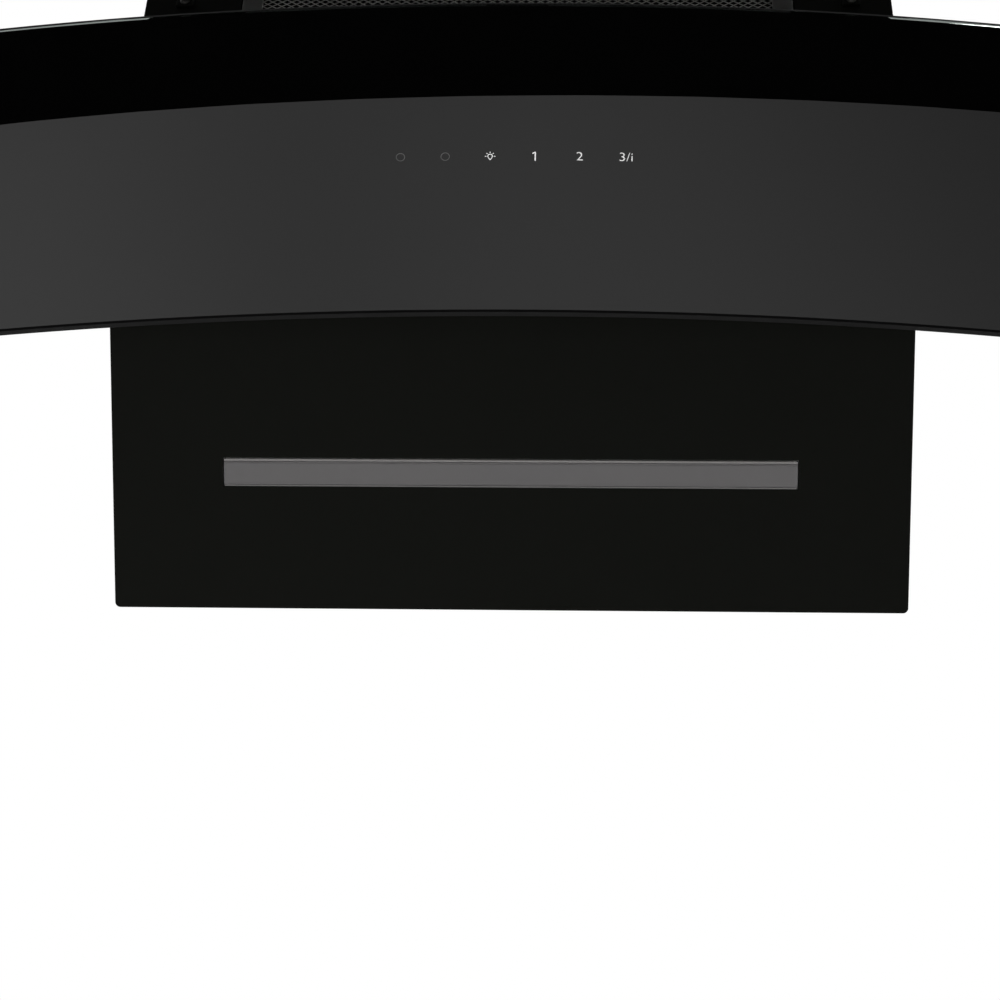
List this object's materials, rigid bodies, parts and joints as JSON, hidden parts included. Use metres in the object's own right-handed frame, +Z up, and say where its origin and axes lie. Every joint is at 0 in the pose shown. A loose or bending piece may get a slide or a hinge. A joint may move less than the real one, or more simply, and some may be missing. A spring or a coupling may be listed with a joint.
{
  "type": "angled range hood",
  "caption": "Wall-mounted angled range hood: wedge-shaped black casing, curved black glass visor with touch controls, light strip, grease filter, fan and telescopic chimney.",
  "frame": {"origin": "on the wall plane, at the centre of the four wall bolts in the back panel", "axes": "+X to the viewer's right, +Y into the wall, +Z up"},
  "size_m": [0.898, 0.3258, 0.87],
  "materials": {
    "black_steel": "matte black powder coat",
    "black_glass": "clear glass, printed black behind",
    "aluminium": "satin",
    "filter_aluminium": "dull, expanded sheet",
    "opal": "opal acrylic, unlit",
    "board": "solder mask",
    "fastener": "zinc plated",
    "black_plastic": "moulded, fine grain",
    "fan_plastic": "moulded",
    "motor_steel": "painted",
    "rubber": "matte",
    "capacitor_case": "moulded"
  },
  "bodies": {
    "casing": {"back_panel": "black_steel", "side_panel_right": "black_steel", "side_panel_left": "black_steel", "top_panel": "black_steel", "front_frame": "black_steel", "lower_panel": "black_steel", "top_screws": "fastener", "light_channel": "aluminium", "light_end_caps": "aluminium", "light_diffuser": "opal", "light_board": "board", "hinge_bracket_right": "black_steel", "hinge_bracket_left": "black_steel", "hinge_pins": "fastener", "visor_bumpers": "rubber", "filter_sockets": "black_plastic", "filter_stops": "black_steel", "front_pads": "black_steel", "front_screws": "fastener", "volute_rear": "fan_plastic", "volute_front": "fan_plastic", "inlet_ring": "fan_plastic", "fan_posts": "fan_plastic", "motor": "motor_steel", "motor_screws": "fastener", "control_box": "black_plastic", "control_lid": "black_plastic", "control_board": "board", "capacitor": "capacitor_case", "capacitor_clip": "fastener", "cable_gland": "black_plastic", "outlet_collar": "black_plastic", "collar_screws": "fastener", "damper_spindle": "fastener", "chimney_lower": "black_steel", "chimney_foot_brackets": "fastener"},
    "visor": {"glass_panel": "black_glass", "visor_rail_lower": "aluminium", "visor_rail_upper": "aluminium", "visor_arm_right": "black_steel", "visor_arm_left": "black_steel", "arm_screws": "fastener", "touch_housing": "black_plastic", "touch_board": "board"},
    "filter": {"filter_frame": "filter_aluminium", "filter_mesh_front": "filter_aluminium", "filter_core": "filter_aluminium", "filter_mesh_rear": "filter_aluminium", "filter_latch_spring": "fastener"},
    "latch": {"filter_latch": "black_plastic"},
    "fan_wheel": {"impeller": "fan_plastic", "motor_shaft": "fastener", "impeller_nut": "fastener"},
    "flap_front": {"damper_flap_front": "black_plastic"},
    "flap_rear": {"damper_flap_rear": "black_plastic"},
    "chimney_top": {"chimney_upper": "black_steel", "chimney_wall_bracket": "fastener", "chimney_screws": "fastener"}
  },
  "joints": [
    {"name": "visor_tilt", "type": "hinge", "parent": "casing", "child": "visor", "pos_m": [0, -0.16623, -0.21711], "axis": [1, 0, 0], "range_deg": [0, 35]},
    {"name": "filter_tilt", "type": "hinge", "parent": "casing", "child": "filter", "pos_m": [0, -0.2034, -0.139], "axis": [1, 0, 0], "range_deg": [0, 30]},
    {"name": "filter_latch_slide", "type": "slide", "parent": "filter", "child": "latch", "axis": [0, 0, -1], "range_m": [0, 0.005], "stiffness_N_per_m": 400, "springref_m": -0.004, "deforming": ["filter_latch_spring"]},
    {"name": "impeller_spin", "type": "hinge", "parent": "casing", "child": "fan_wheel", "pos_m": [-0.1035, -0.08, -0.055], "axis": [0, 1, 0], "continuous": true},
    {"name": "damper_front", "type": "hinge", "parent": "casing", "child": "flap_front", "pos_m": [0, -0.09, 0.155], "axis": [-1, 0, 0], "range_deg": [0, 75]},
    {"name": "damper_rear", "type": "hinge", "parent": "casing", "child": "flap_rear", "pos_m": [0, -0.09, 0.155], "axis": [1, 0, 0], "range_deg": [0, 75]},
    {"name": "chimney_extend", "type": "slide", "parent": "casing", "child": "chimney_top", "axis": [0, 0, 1], "range_m": [0, 0.25]}
  ]
}
